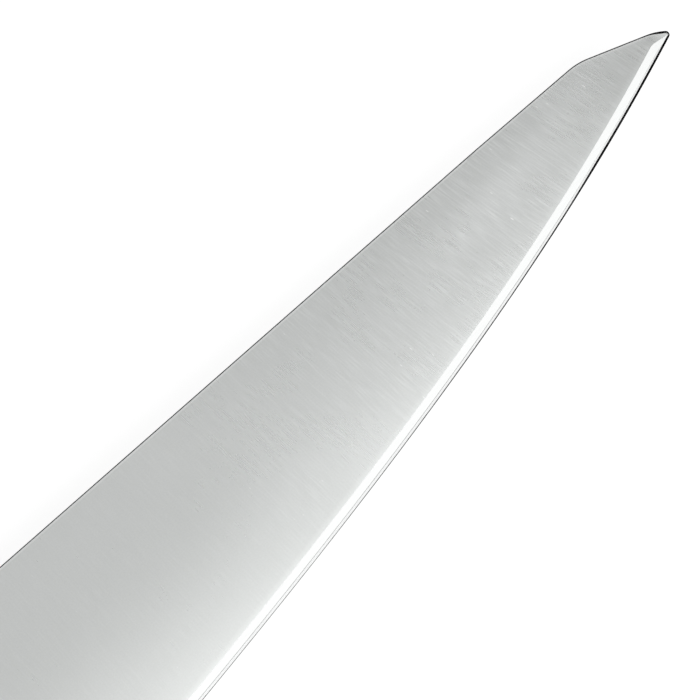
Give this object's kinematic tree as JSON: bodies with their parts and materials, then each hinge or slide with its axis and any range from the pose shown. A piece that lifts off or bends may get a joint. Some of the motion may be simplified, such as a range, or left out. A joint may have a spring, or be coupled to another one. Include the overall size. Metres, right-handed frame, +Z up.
{
  "type": "honesuki knife",
  "caption": "Boning knife with a triangular blade, a clipped tip, a wide bevel on one side and a riveted full-tang handle with a bolster.",
  "frame": {"origin": "under the middle of the knife's outline, on the surface it lies on: halfway between tip and butt, and halfway between spine and heel", "axes": "+X runs to the tip, +Y to the spine and +Z up, out of the right face with the wide bevel; the knife lies on the left side of its handle"},
  "size_m": [0.274, 0.041, 0.018],
  "materials": {
    "satin_steel": "satin, ground across the blade, with a brighter bevel along the edge",
    "polished_steel": "fine polish with faint belt marks along the handle",
    "rivet_steel": "polished flush with the wood",
    "black_pakkawood": "smooth resin-filled laminate, semi-gloss, with a fine lengthwise grain"
  },
  "bodies": {
    "root": {"blade_with_tang": "satin_steel", "bolster_right": "polished_steel", "bolster_left": "polished_steel", "handle_scale_right": "black_pakkawood", "handle_scale_left": "black_pakkawood", "front_rivet_female": "rivet_steel", "front_rivet_male": "rivet_steel", "middle_rivet_female": "rivet_steel", "middle_rivet_male": "rivet_steel", "rear_rivet_female": "rivet_steel", "rear_rivet_male": "rivet_steel"}
  },
  "joints": []
}
